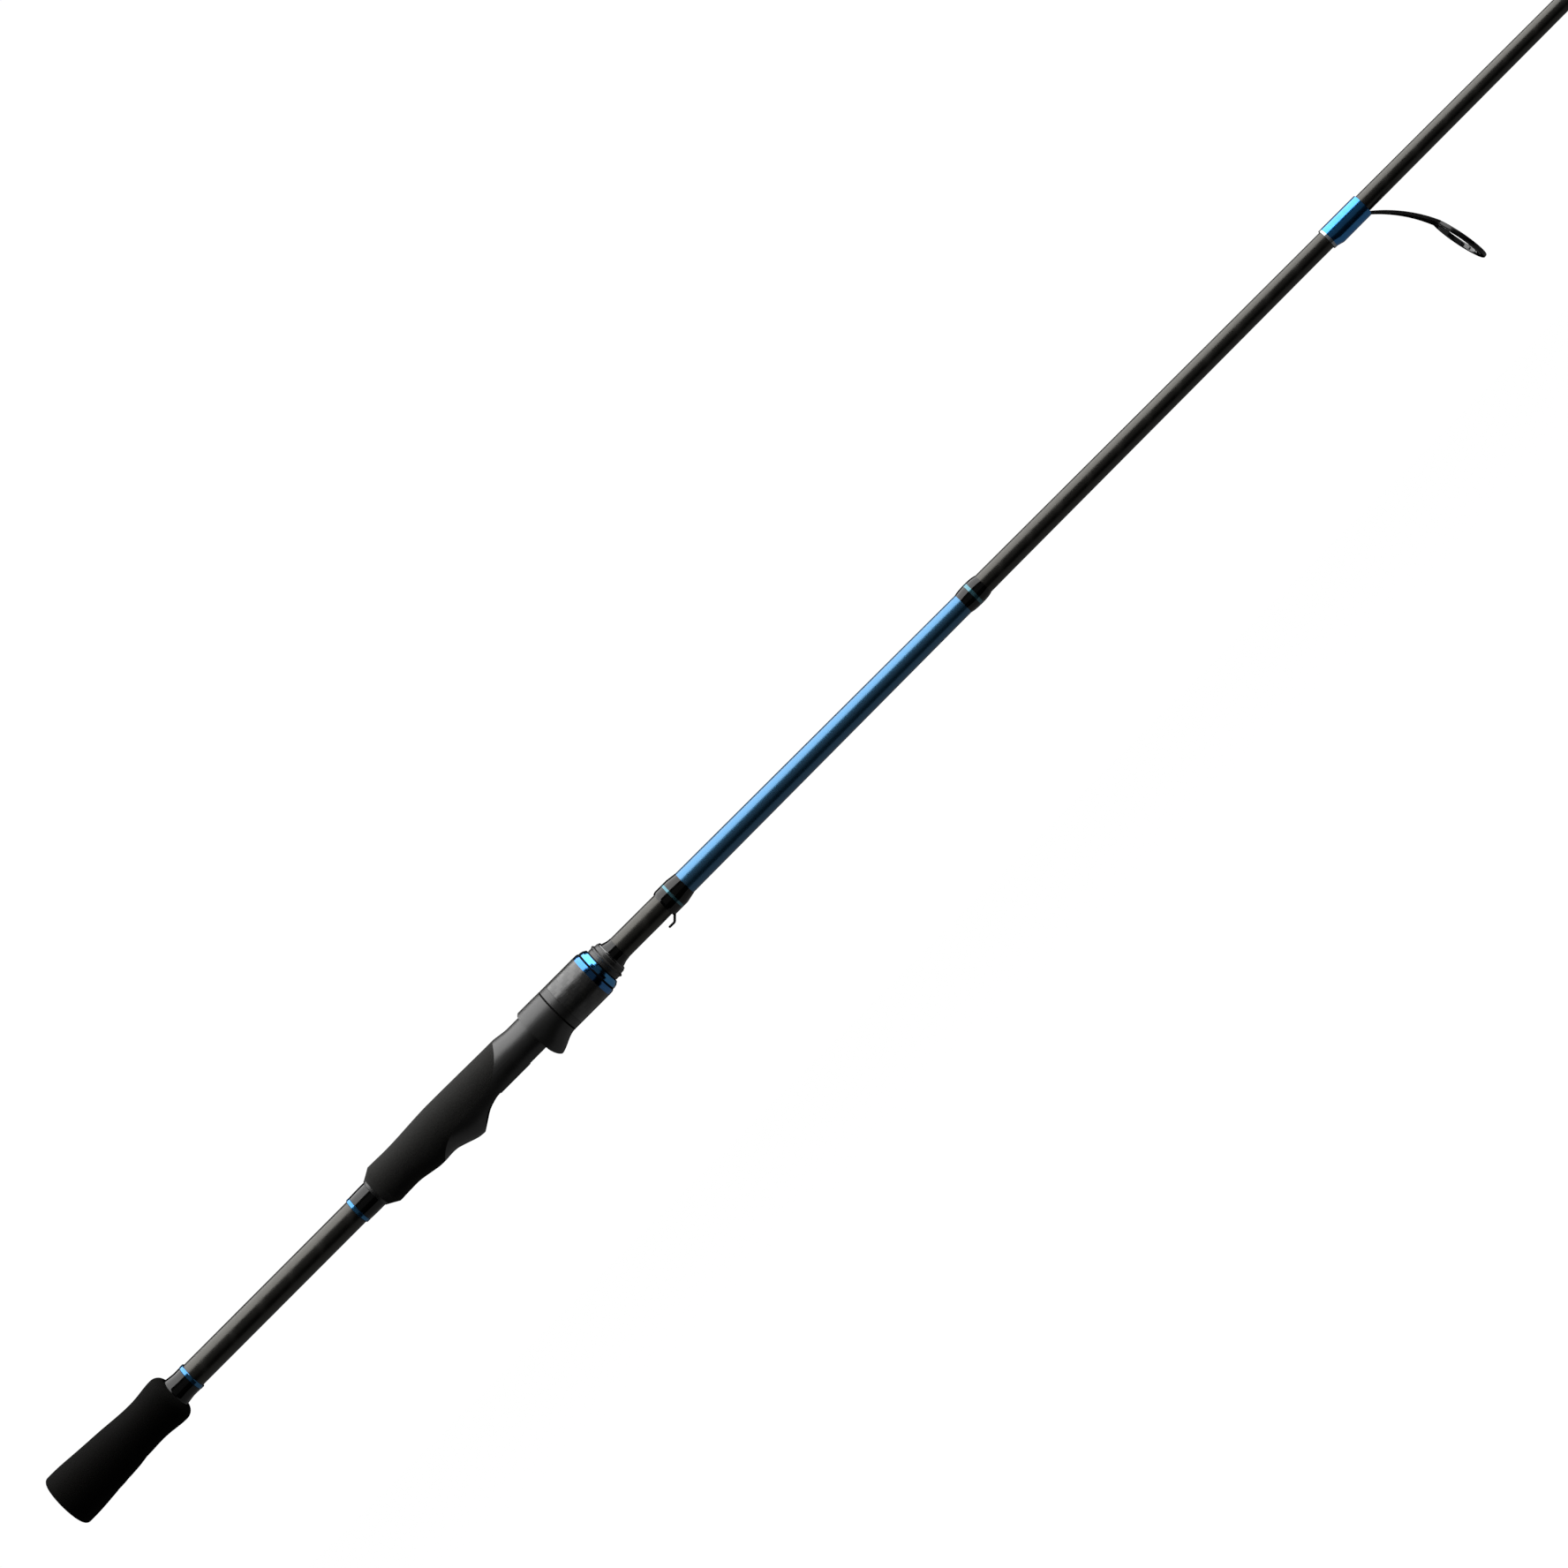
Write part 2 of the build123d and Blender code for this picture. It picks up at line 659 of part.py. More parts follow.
def guide_leg(guide):
    """Bent plate from the foot to the hoop: a neck that forks round a window."""
    g = guide
    top = -(g.surface_r - 0.1)
    join_x, join_z = g.join
    t = g.plate
    drop = top - join_z
    middle = ((g.foot_end + join_x) / 2 + LEG_BOW * drop, (top + join_z) / 2 + LEG_BOW * drop)
    inner = ThreePointArc(*on_side(((g.foot_end, top), (middle[0] + t * 0.6, middle[1] + t * 0.4),
                                    (join_x + t * 0.8, join_z + t * 0.3))))
    outer = ThreePointArc(*on_side(((join_x - t * 0.4, join_z - t * 0.1),
                                    (middle[0] - t * 0.5, middle[1] - t * 0.4),
                                    (g.foot_end - t * 0.4, top - t * 1.3))))
    profile = side_face(
        inner,
        side_line((join_x + t * 0.8, join_z + t * 0.3), (join_x - t * 0.4, join_z - t * 0.1)),
        outer,
        side_line(
            (g.foot_end - t * 0.4, top - t * 1.3),
            (g.foot_end - t * 2, top - t),
            (g.foot_end - t * 2, top),
            (g.foot_end, top),
        ),
    )
    neck = 0.9 + 0.07 * g.hoop_r
    arm = 0.7 + 0.06 * g.hoop_r
    spread = g.hoop_r * sin(radians(ARM_ANGLE))
    low = join_z - 0.5
    split = top - 0.38 * drop
    front = Plane(origin=(g.foot_end - 10, 0, 0), x_dir=(0, 1, 0), z_dir=(1, 0, 0))
    outline = make_face(Polyline((-neck, top + 1), (neck, top + 1), (neck, top - t), (spread, low),
                                 (-spread, low), (-neck, top - t), close=True))
    reach = spread - arm
    window = make_face(Polyline((0, split), (reach, low - 0.01), (-reach, low - 0.01), close=True))
    fork = extrude(front * (outline - window), amount=join_x - g.foot_end + 20)
    return side_prism(profile, 20) & fork


def guide_foot(guide):
    """Tapered tongue that lies on the blank under the wrap."""
    g = guide
    length = (g.wrap_end - g.wrap_start) * 0.78
    x0 = g.wrap_end - length
    t = g.plate
    r0 = blank_r(x0)
    r1 = blank_r(g.wrap_end)
    profile = side_face(side_line((x0, -r0 + 0.4), (x0, -r0 - 0.15), (g.wrap_end - 2 * t, -r1 - t),
                                  (g.wrap_end - t * 0.4, -r1 - 1.15 * t), (g.wrap_end, -r1 + 0.4),
                                  (x0, -r0 + 0.4)))
    return side_prism(profile, 0.9 + 0.07 * g.hoop_r)


def guide_frame(guide):
    g = guide
    hoop = ring_stock(g.ring_plane(), g.hoop_r, g.hoop_r - g.hoop_wall, g.thick)
    hoop = fillet(hoop.edges().filter_by(GeomType.CIRCLE).sort_by(SortBy.RADIUS)[-2:], g.thick * 0.3)
    arms = guide_leg(g)
    inside = extrude(g.ring_plane() * Circle(g.hoop_r - g.hoop_wall), amount=g.thick * 4, both=True)
    body = hoop + (arms - inside) + guide_foot(g)
    return body - blank_core(g.wrap_start - 5, g.ring_x + 5)


def guide_ring(guide):
    """Polished ceramic ring with a rounded bore, seated in the hoop."""
    g = guide
    outer = g.hoop_r - g.hoop_wall
    half = g.thick * 0.65
    land = 0.25 * g.thick
    plane = g.ring_plane()
    shoulder = min(half - land, (outer - g.bore_r) * 0.7)
    ring = ring_stock(plane, outer, g.bore_r, 2 * half)
    edges = ring.edges().filter_by(GeomType.CIRCLE).sort_by(SortBy.RADIUS)
    ring = fillet(edges[:2], shoulder * 0.98)
    edges = ring.edges().filter_by(GeomType.CIRCLE).sort_by(SortBy.RADIUS)
    return chamfer(edges[-2:], 0.12 * g.thick)


def wrap_shape(guide, shrink=0.0):
    """Outside of the thread wrap: round above, deeper over the foot."""
    g = guide
    cover = 0.35 + 0.025 * g.hoop_r
    x0, x1 = g.wrap_start, g.wrap_end
    ramp = (x1 - x0) * 0.22
    r0, rm, r1 = blank_r(x0), blank_r(x0 + ramp), blank_r(x1)
    deep = g.plate * 1.15 + cover * 0.6
    return egg_loft(
        (x0, r0 + cover - shrink, r0 + cover - shrink),
        (x0 + ramp * 0.35, r0 + cover - shrink, r0 + cover * 1.1 - shrink),
        (x0 + ramp, rm + cover - shrink, rm + deep - shrink),
        (x1, r1 + cover - shrink, r1 + deep - shrink),
        ruled=True,
    )


def guide_wrap(guide, frame):
    g = guide
    body = wrap_shape(g) - blank_core(g.wrap_start - 5, g.wrap_end + 5) - frame
    return body - slab(g.wrap_start - 1, g.wrap_start + TRIM_BAND)


def guide_trim(guide):
    """Bright trim turns of thread at the butt end of a wrap."""
    g = guide
    band = wrap_shape(g) - blank_core(g.wrap_start - 5, g.wrap_end + 5)
    return band & slab(g.wrap_start - 1, g.wrap_start + TRIM_BAND)


# ---------------------------------------------------------------- tip top
TIP_TUBE = (2114.0, 2127.5)
TIP_RING_X = 2131.6
TIP_HOOP_R = 3.9
TIP_HOOP_WALL = 0.95
TIP_RING_BORE_R = 1.95
TIP_RING_HALF = 1.0
TIP_WRAP = (2107.0, 2114.0)


def tip_plane():
    return Plane(origin=(TIP_RING_X, 0, -TIP_HOOP_R + 0.4), x_dir=(0, 1, 0), z_dir=(1, 0, 0))


def tip_top_frame():
    """Tube over the tip of the blank, with a hoop and two braces."""
    tube_r = blank_r(TIP_TUBE[0]) + 0.35
    tube = turned_line(
        (TIP_TUBE[0], 0), (TIP_TUBE[0], tube_r), (TIP_TUBE[1], tube_r), (TIP_TUBE[1], 0)
    )
    neck = bar((TIP_TUBE[1] - 1, 0, 0), (TIP_RING_X, 0, 0), 0.62)
    centre_z = -TIP_HOOP_R + 0.4
    reach = TIP_HOOP_R - 0.45
    braces = [
        bar((TIP_TUBE[0] + 4, side * 0.9, -0.8), (TIP_RING_X, side * reach, centre_z), 0.45)
        for side in (-1, 1)
    ]
    hoop = ring_stock(tip_plane(), TIP_HOOP_R, TIP_HOOP_R - TIP_HOOP_WALL, 1.3)
    inside = extrude(tip_plane() * Circle(TIP_HOOP_R - TIP_HOOP_WALL), amount=3, both=True)
    body = tube + (neck + braces[0] + braces[1] - inside) + hoop
    return body - blank_core(2090, BLANK_END) - slab(TIP_RING_X + 0.65, TIP_RING_X + 3)


def tip_top_ring():
    ring = ring_stock(tip_plane(), TIP_HOOP_R - TIP_HOOP_WALL, TIP_RING_BORE_R, 2 * TIP_RING_HALF)
    edges = ring.edges().filter_by(GeomType.CIRCLE).sort_by(SortBy.RADIUS)
    return fillet(edges[:2], 0.6)


def tip_top_wrap():
    x0, x1 = TIP_WRAP
    return turned_line(
        (x0, blank_r(x0)), (x0, blank_r(x0) + 0.12), (x0 + 1, blank_r(x0) + 0.3), (x1, blank_r(x1) + 0.36),
        (x1, blank_r(x1)),
    )


# ---------------------------------------------------------------- write the nodes
def main():
    os.makedirs("parts", exist_ok=True)
    save(blank(), "blank")
    save(butt_grip(), "butt_grip")
    save(butt_wrap(), "butt_wrap")
    save(trim_ring(*BUTT_TRIM, 0.66), "butt_trim_ring")
    save(trim_ring(*REAR_TRIM, 0.56), "rear_trim_ring")
    save(rear_wrap(), "rear_wrap")
    save(rear_winding_check(), "rear_winding_check")
    save(rear_grip(), "rear_grip")
    save(reel_seat(), "reel_seat")
    for place, span in zip(("rear", "middle", "front"), ARBORS):
        save(seat_arbor(*span), f"seat_arbor_{place}")
    save(moving_hood(), "moving_hood")
    save(nut_core(), "nut_core")
    save(nut_pattern_sleeve(), "nut_pattern_sleeve")
    save(nut_rear_ring(), "nut_rear_ring")
    save(nut_front_ring(), "nut_front_ring")
    save(front_collar(), "front_collar")
    save(fore_wrap(), "fore_wrap")
    save(hook_keeper(), "hook_keeper")
    save(keeper_wrap(), "keeper_wrap")
    save(keeper_trim_ring(), "keeper_trim_ring")
    save(label_sleeve(), "label_sleeve")
    save(label_end_wrap(), "label_end_wrap")
    save(label_end_ring(), "label_end_ring")
    trims = []
    for number, row in enumerate(GUIDES, start=1):
        guide = Guide(*row)
        frame = guide_frame(guide)
        save(frame, f"guide_{number}_frame")
        save(guide_ring(guide), f"guide_{number}_ring")
        save(guide_wrap(guide, frame), f"guide_{number}_wrap")
        trims.append(guide_trim(guide))
    bands = Compound(children=[solid for trim in trims for solid in trim.solids()])
    save(bands, "guide_trim_bands", count=len(GUIDES))
    save(tip_top_frame(), "tip_top_frame")
    save(tip_top_ring(), "tip_top_ring")
    save(tip_top_wrap(), "tip_top_wrap")


main()
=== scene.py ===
"""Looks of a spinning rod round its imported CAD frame.

The rod lies along +X from the butt to the tip, with the reel and guide side towards -Z.
Lengths are in metres.
"""

from math import cos, pi, radians, sin, tau

import bmesh
import bpy
from mathutils import Matrix, Vector


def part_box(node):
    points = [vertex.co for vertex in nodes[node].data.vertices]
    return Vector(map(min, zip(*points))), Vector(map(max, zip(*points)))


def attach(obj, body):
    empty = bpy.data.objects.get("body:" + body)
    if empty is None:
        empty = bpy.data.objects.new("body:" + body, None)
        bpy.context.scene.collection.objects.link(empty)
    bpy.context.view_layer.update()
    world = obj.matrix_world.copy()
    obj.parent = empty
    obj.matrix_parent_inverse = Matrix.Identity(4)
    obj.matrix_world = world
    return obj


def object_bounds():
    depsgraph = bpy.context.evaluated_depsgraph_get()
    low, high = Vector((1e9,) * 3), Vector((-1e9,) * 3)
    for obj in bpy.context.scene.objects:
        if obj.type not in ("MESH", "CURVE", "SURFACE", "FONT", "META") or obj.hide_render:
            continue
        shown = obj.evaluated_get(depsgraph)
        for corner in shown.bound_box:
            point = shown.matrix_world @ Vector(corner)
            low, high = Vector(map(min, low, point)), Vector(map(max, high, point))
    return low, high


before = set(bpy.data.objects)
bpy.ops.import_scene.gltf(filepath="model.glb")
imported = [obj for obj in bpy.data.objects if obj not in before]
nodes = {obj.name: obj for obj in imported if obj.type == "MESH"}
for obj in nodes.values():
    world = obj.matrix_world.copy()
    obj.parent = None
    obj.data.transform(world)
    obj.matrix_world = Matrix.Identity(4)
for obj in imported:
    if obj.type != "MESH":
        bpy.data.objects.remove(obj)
cad_low, cad_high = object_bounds()

MM = 0.001
GUIDE_COUNT = 8
THREAD_PITCH = 0.22 * MM        # from one turn of a wrap to the next
TAPE_PITCH = 18.5 * MM          # shrink tape's spiral along the blank
TURNING_PITCH = 0.2 * MM        # tool lines on the nut's blue rings
TOWS_ROUND = 36.0               # tows of the woven pattern once round the nut
TOW_WIDTH = 2.0 * MM
TWILL_REPEAT = 4.0              # tows in one repeat of the weave
TOW_FIBRES = 7.0                # fibre lines across one tow

RING_SEGMENTS = 128
BEAD_POINTS = 14
SHADE_BAND_EDGE = 0.12 * MM           # bevel along each edge of a band of painted shade
HOOD_SHADE_GAP = 0.05 * MM       # between the hood's band of painted shade and the nut
HOOD_SHADE_WIDTH = 0.7 * MM
HOOD_SHADE_DEPTH = 0.7 * MM
HOOD_SHADE_SUNK = 0.07 * MM      # how far the band of painted shade lies below the hood's skin
RING_SHADE_LAP = 0.3 * MM        # how far the band of painted shade runs under each blue ring
RING_SHADE_DEPTH = 0.9 * MM
RING_SHADE_SUNK = 0.03 * MM
BEAD_R = 0.5 * MM
LAMP_OVERRUN = 1.2              # how much longer than the rod each lamp is
FLOOR_DROP = 0.36               # from the lowest point of the rod to the floor

# ---------------------------------------------------------------- sizes taken from the frame
ROD_LENGTH = cad_high.x - cad_low.x
ROD_MIDDLE = ROD_LENGTH / 2
LIGHT_LENGTH = ROD_LENGTH + LAMP_OVERRUN
FLOOR_Z = cad_low.z - FLOOR_DROP


# ---------------------------------------------------------------- node material helpers
class Paint:
    """A node material round one Principled shader, with short calls for the usual nodes."""

    def __init__(self, name, **sockets):
        self.material = bpy.data.materials.new(name)
        self.material.use_nodes = True
        self.tree = self.material.node_tree
        self.tree.nodes.clear()
        output = self.tree.nodes.new("ShaderNodeOutputMaterial")
        self.shader = self.tree.nodes.new("ShaderNodeBsdfPrincipled")
        self.tree.links.new(self.shader.outputs["BSDF"], output.inputs["Surface"])
        for socket, value in sockets.items():
            self.shader.inputs[socket.replace("_", " ")].default_value = value
        self.position = self.tree.nodes.new("ShaderNodeTexCoord").outputs["Object"]
        self.axes = None

    def link(self, value, socket):
        """Puts a number, a colour or another node's output on a socket."""
        if isinstance(value, bpy.types.NodeSocket):
            self.tree.links.new(value, socket)
        else:
            socket.default_value = value

    def math(self, operation, first, second=0.0, third=0.0):
        node = self.tree.nodes.new("ShaderNodeMath")
        node.operation = operation
        for value, socket in zip((first, second, third), node.inputs):
            self.link(value, socket)
        return node.outputs[0]

    def axis(self, letter):
        """One coordinate of the surface point, in the piece's own frame."""
        if self.axes is None:
            self.axes = self.tree.nodes.new("ShaderNodeSeparateXYZ")
            self.link(self.position, self.axes.inputs[0])
        return self.axes.outputs[letter]

    def turn(self):
        """Angle round the rod's axis, as a part of one turn."""
        return self.math("DIVIDE", self.math("ARCTAN2", self.axis("Z"), self.axis("Y")), tau)

    def helix(self, pitch):
        """Phase, in turns, of thread or tape wound round the rod."""
        along = self.math("DIVIDE", self.axis("X"), pitch)
        return self.math("ADD", along, self.turn())

    def wave(self, phase):
        """Smooth ripple from 0 to 1 over each whole number of the phase."""
        swing = self.math("SINE", self.math("MULTIPLY", phase, tau))
        return self.math("MULTIPLY_ADD", swing, 0.5, 0.5)

    def noise(self, scale, detail=2.0, roughness=0.5, stretch=(1.0, 1.0, 1.0)):
        """Noise with its scale per metre, drawn out along an axis by a stretch under 1."""
        mapping = self.tree.nodes.new("ShaderNodeMapping")
        self.link(self.position, mapping.inputs["Vector"])
        mapping.inputs["Scale"].default_value = stretch
        node = self.tree.nodes.new("ShaderNodeTexNoise")
        self.link(mapping.outputs[0], node.inputs["Vector"])
        node.inputs["Scale"].default_value = scale
        node.inputs["Detail"].default_value = detail
        node.inputs["Roughness"].default_value = roughness
        return node.outputs["Fac"]

    def cells(self, scale):
        """Distance to the nearest of scattered points, with their number given per metre."""
        node = self.tree.nodes.new("ShaderNodeTexVoronoi")
        self.link(self.position, node.inputs["Vector"])
        node.inputs["Scale"].default_value = scale
        return node.outputs["Distance"]

    def ramp(self, value, *stops):
        """Colours at positions from 0 to 1: each stop is (position, (r, g, b))."""
        node = self.tree.nodes.new("ShaderNodeValToRGB")
        self.link(value, node.inputs["Fac"])
        elements = node.color_ramp.elements
        while len(elements) < len(stops):
            elements.new(0.5)
        for element, (place, colour) in zip(elements, stops):
            element.position = place
            element.color = (*colour, 1.0)
        return node.outputs["Color"]

    def spread(self, value, low, high):
        """Maps 0 to 1 onto low to high."""
        return self.math("MULTIPLY_ADD", value, high - low, low)

    def colour(self, value):
        self.link(value, self.shader.inputs["Base Color"])

    def roughness(self, value):
        self.link(value, self.shader.inputs["Roughness"])

    def bump(self, height, depth, coat=False):
        """Relief of the given depth in metres, on the base or on the clear coat."""
        node = self.tree.nodes.new("ShaderNodeBump")
        node.inputs["Strength"].default_value = 1.0
        node.inputs["Distance"].default_value = depth
        self.link(height, node.inputs["Height"])
        self.link(node.outputs[0], self.shader.inputs["Coat Normal" if coat else "Normal"])


# ---------------------------------------------------------------- materials
def graphite():
    """Matte clear coat over graphite cloth, with the faint spiral that the shrink tape leaves."""
    paint = Paint("graphite", Specular_IOR_Level=0.92, Coat_Weight=0.32, Coat_Roughness=0.3)
    paint.shader.inputs["Specular Tint"].default_value = (1.0, 0.97, 0.88, 1.0)
    tape = paint.wave(paint.helix(TAPE_PITCH))
    ridge = paint.math("POWER", tape, 9.0)
    cloth = paint.noise(420.0, 3.0, 0.6, stretch=(0.35, 1.0, 1.0))
    mottle = paint.math("MULTIPLY_ADD", ridge, 0.25, paint.math("MULTIPLY", cloth, 0.8))
    paint.colour(paint.ramp(mottle, (0.2, (0.006, 0.0056, 0.0048)), (0.8, (0.016, 0.015, 0.0138))))
    smear = paint.noise(85.0, 2.0, stretch=(0.5, 1.0, 1.0))
    wear = paint.math("MULTIPLY_ADD", ridge, 0.35, paint.math("MULTIPLY", smear, 0.65))
    paint.roughness(paint.spread(wear, 0.24, 0.46))
    relief = paint.math("MULTIPLY_ADD", ridge, 0.7, paint.noise(2600.0, 2.0, stretch=(0.5, 1.0, 1.0)))
    paint.bump(relief, 0.016 * MM)
    return paint.material


def foam(name, dark, light, gloss, sheen):
    """Closed-cell EVA foam, sanded, with fine open cells at the surface."""
    paint = Paint(name, Specular_IOR_Level=gloss, Sheen_Weight=sheen, Sheen_Roughness=0.5)
    pores = paint.cells(2600.0)
    scuff = paint.noise(90.0, 3.0, 0.6)
    shade = paint.math("MULTIPLY_ADD", pores, 0.5, paint.math("MULTIPLY", scuff, 0.5))
    paint.colour(paint.ramp(shade, (0.25, dark), (0.75, light)))
    paint.roughness(paint.spread(scuff, 0.78, 0.92))
    grain = paint.math("MULTIPLY_ADD", pores, 0.8, paint.noise(1500.0, 3.0, 0.6))
    paint.bump(grain, 0.07 * MM)
    return paint.material


def wound_thread(name, dark, light, metallic=0.0, gloss=0.4):
    """Turns of thread laid side by side under a glossy coat of epoxy."""
    paint = Paint(
        name, Metallic=metallic, Coat_Weight=1.0, Coat_Roughness=0.035, Coat_IOR=1.52,
        Specular_IOR_Level=gloss,
    )
    turns = paint.wave(paint.helix(THREAD_PITCH))
    lustre = paint.noise(160.0, 2.0, stretch=(4.0, 0.6, 0.6))
    shade = paint.math("MULTIPLY_ADD", turns, 0.55, paint.math("MULTIPLY", lustre, 0.45))
    paint.colour(paint.ramp(shade, (0.15, dark), (0.85, light)))
    paint.roughness(paint.spread(turns, 0.22, 0.15))
    paint.bump(turns, 0.006 * MM)
    paint.bump(paint.noise(110.0, 1.0), 0.03 * MM, coat=True)
    return paint.material


def moulded_plastic():
    """Satin moulded graphite nylon with a fine spark-eroded grain."""
    paint = Paint("seat_plastic", Specular_IOR_Level=1.0, Coat_Weight=0.38, Coat_Roughness=0.28)
    grain = paint.noise(3200.0, 2.0, 0.6)
    flow = paint.noise(60.0, 3.0, 0.55)
    paint.colour(paint.ramp(flow, (0.3, (0.0065, 0.0063, 0.0060)), (0.7, (0.010, 0.0098, 0.0093))))
    paint.roughness(paint.spread(flow, 0.38, 0.46))
    paint.bump(grain, 0.012 * MM)
    return paint.material


def carbon_weave():
    """Twill cloth pattern wrapped round the nut, under a satin coat."""
    paint = Paint("carbon_weave", Coat_Weight=0.8, Coat_Roughness=0.24, Specular_IOR_Level=1.0)
    across = paint.math("MULTIPLY", paint.turn(), TOWS_ROUND)
    along = paint.math("DIVIDE", paint.axis("X"), TOW_WIDTH)
    steps = paint.math("ADD", paint.math("FLOOR", across), paint.math("FLOOR", along))
    over = paint.math("LESS_THAN", paint.math("FLOORED_MODULO", steps, TWILL_REPEAT), 1.5)
    fibre_along = paint.wave(paint.math("MULTIPLY", across, TOW_FIBRES))
    fibre_across = paint.wave(paint.math("MULTIPLY", along, TOW_FIBRES))
    crown_along = paint.wave(paint.math("ADD", across, -0.25))
    crown_across = paint.wave(paint.math("ADD", along, -0.25))
    pick = paint.tree.nodes.new("ShaderNodeMix")
    paint.link(over, pick.inputs["Factor"])
    paint.link(paint.math("MULTIPLY_ADD", fibre_along, 0.25, crown_along), pick.inputs["A"])
    paint.link(paint.math("MULTIPLY_ADD", fibre_across, 0.25, crown_across), pick.inputs["B"])
    weave = pick.outputs["Result"]
    shade = paint.math("MULTIPLY_ADD", over, 0.6, paint.math("MULTIPLY", weave, 0.3))
    paint.colour(paint.ramp(shade, (0.1, (0.006, 0.006, 0.006)), (0.9, (0.028, 0.0275, 0.026))))
    paint.roughness(paint.spread(over, 0.42, 0.28))
    paint.bump(weave, 0.012 * MM)
    return paint.material


def anodised(name, dark, light):
    """Bright anodised aluminium, lathe-turned, so its fine lines run round the rod."""
    paint = Paint(name, Metallic=1.0, Coat_Weight=0.6, Coat_Roughness=0.05)
    lines = paint.wave(paint.math("DIVIDE", paint.axis("X"), TURNING_PITCH))
    worn = paint.noise(300.0, 2.0, stretch=(6.0, 1.0, 1.0))
    shade = paint.math("MULTIPLY_ADD", lines, 0.3, paint.math("MULTIPLY", worn, 0.7))
    paint.colour(paint.ramp(shade, (0.2, dark), (0.8, light)))
    paint.roughness(paint.spread(worn, 0.12, 0.20))
    paint.bump(lines, 0.0015 * MM)
    return paint.material


def metallic_lacquer():
    """Blue metallic lacquer of the label section: fine flakes under a satin clear coat."""
    paint = Paint("label_lacquer", Metallic=0.9, Coat_Weight=0.9, Coat_Roughness=0.12)
    flakes = paint.cells(3200.0)
    cloud = paint.noise(35.0, 2.0, stretch=(0.3, 1.0, 1.0))
    shade = paint.math("MULTIPLY_ADD", flakes, 0.3, paint.math("MULTIPLY", cloud, 0.7))
    paint.colour(paint.ramp(shade, (0.15, (0.056, 0.205, 0.40)), (0.85, (0.086, 0.272, 0.49))))
    paint.roughness(paint.spread(cloud, 0.30, 0.36))
    paint.bump(flakes, 0.0006 * MM)
    return paint.material


def dark_metal(name, colour, low, high):
    """Black coated or plated steel with small changes of gloss."""
    paint = Paint(name, Metallic=0.85, Coat_Weight=0.5, Coat_Roughness=0.1)
    smear = paint.noise(260.0, 3.0, 0.6)
    paint.colour(paint.ramp(smear, (0.2, tuple(c * 0.7 for c in colour)), (0.8, colour)))
    paint.roughness(paint.spread(smear, low, high))
    paint.bump(paint.noise(1800.0, 2.0), 0.006 * MM)
    return paint.material


def ceramic():
    """Polished dark ceramic of the guide rings."""
    paint = Paint("ring_ceramic", Coat_Weight=1.0, Coat_Roughness=0.02, Specular_IOR_Level=0.8)
    speck = paint.noise(900.0, 3.0, 0.65)
    paint.colour(paint.ramp(speck, (0.3, (0.010, 0.010, 0.011)), (0.8, (0.028, 0.028, 0.030))))
    paint.roughness(paint.spread(speck, 0.10, 0.16))
    return paint.material


def rigid_foam():
    """Pale rigid foam of the bushings inside the seat."""
    paint = Paint("arbor_foam", Specular_IOR_Level=0.2)
    bubbles = paint.cells(1200.0)
    paint.colour(paint.ramp(bubbles, (0.1, (0.38, 0.33, 0.22)), (0.7, (0.62, 0.57, 0.44))))
    paint.roughness(paint.spread(bubbles, 0.8, 0.95))
    paint.bump(bubbles, 0.1 * MM)
    return paint.material


def painted_shade_black():
    """Matt black of the thin bands laid in the seams as painted shade."""
    paint = Paint("painted_seam_shade", Specular_IOR_Level=0.15)
    dust = paint.noise(800.0, 3.0, 0.6)
    # The near-black colour is painted shade for the seams, varied a little by dust.
    paint.colour(paint.ramp(dust, (0.3, (0.0012, 0.0012, 0.0012)), (0.8, (0.0030, 0.0030, 0.0030))))
    paint.roughness(paint.spread(dust, 0.75, 0.9))
    paint.bump(dust, 0.01 * MM)
    return paint.material


def epoxy():
    """Clear, very glossy epoxy over black."""
    paint = Paint(
        "epoxy_bead", Specular_IOR_Level=1.0, Coat_Weight=1.0, Coat_Roughness=0.02, Coat_IOR=1.8,
    )
    flow = paint.noise(240.0, 2.0)
    paint.colour(paint.ramp(flow, (0.3, (0.004, 0.004, 0.004)), (0.8, (0.009, 0.009, 0.010))))
    paint.roughness(paint.spread(flow, 0.05, 0.10))
    paint.bump(flow, 0.02 * MM, coat=True)
    return paint.material


def assign(material, *names):
    for name in names:
        for place in nodes[name].material_slots:
            place.material = material


def each_guide(part):
    return [f"guide_{number}_{part}" for number in range(1, GUIDE_COUNT + 1)]


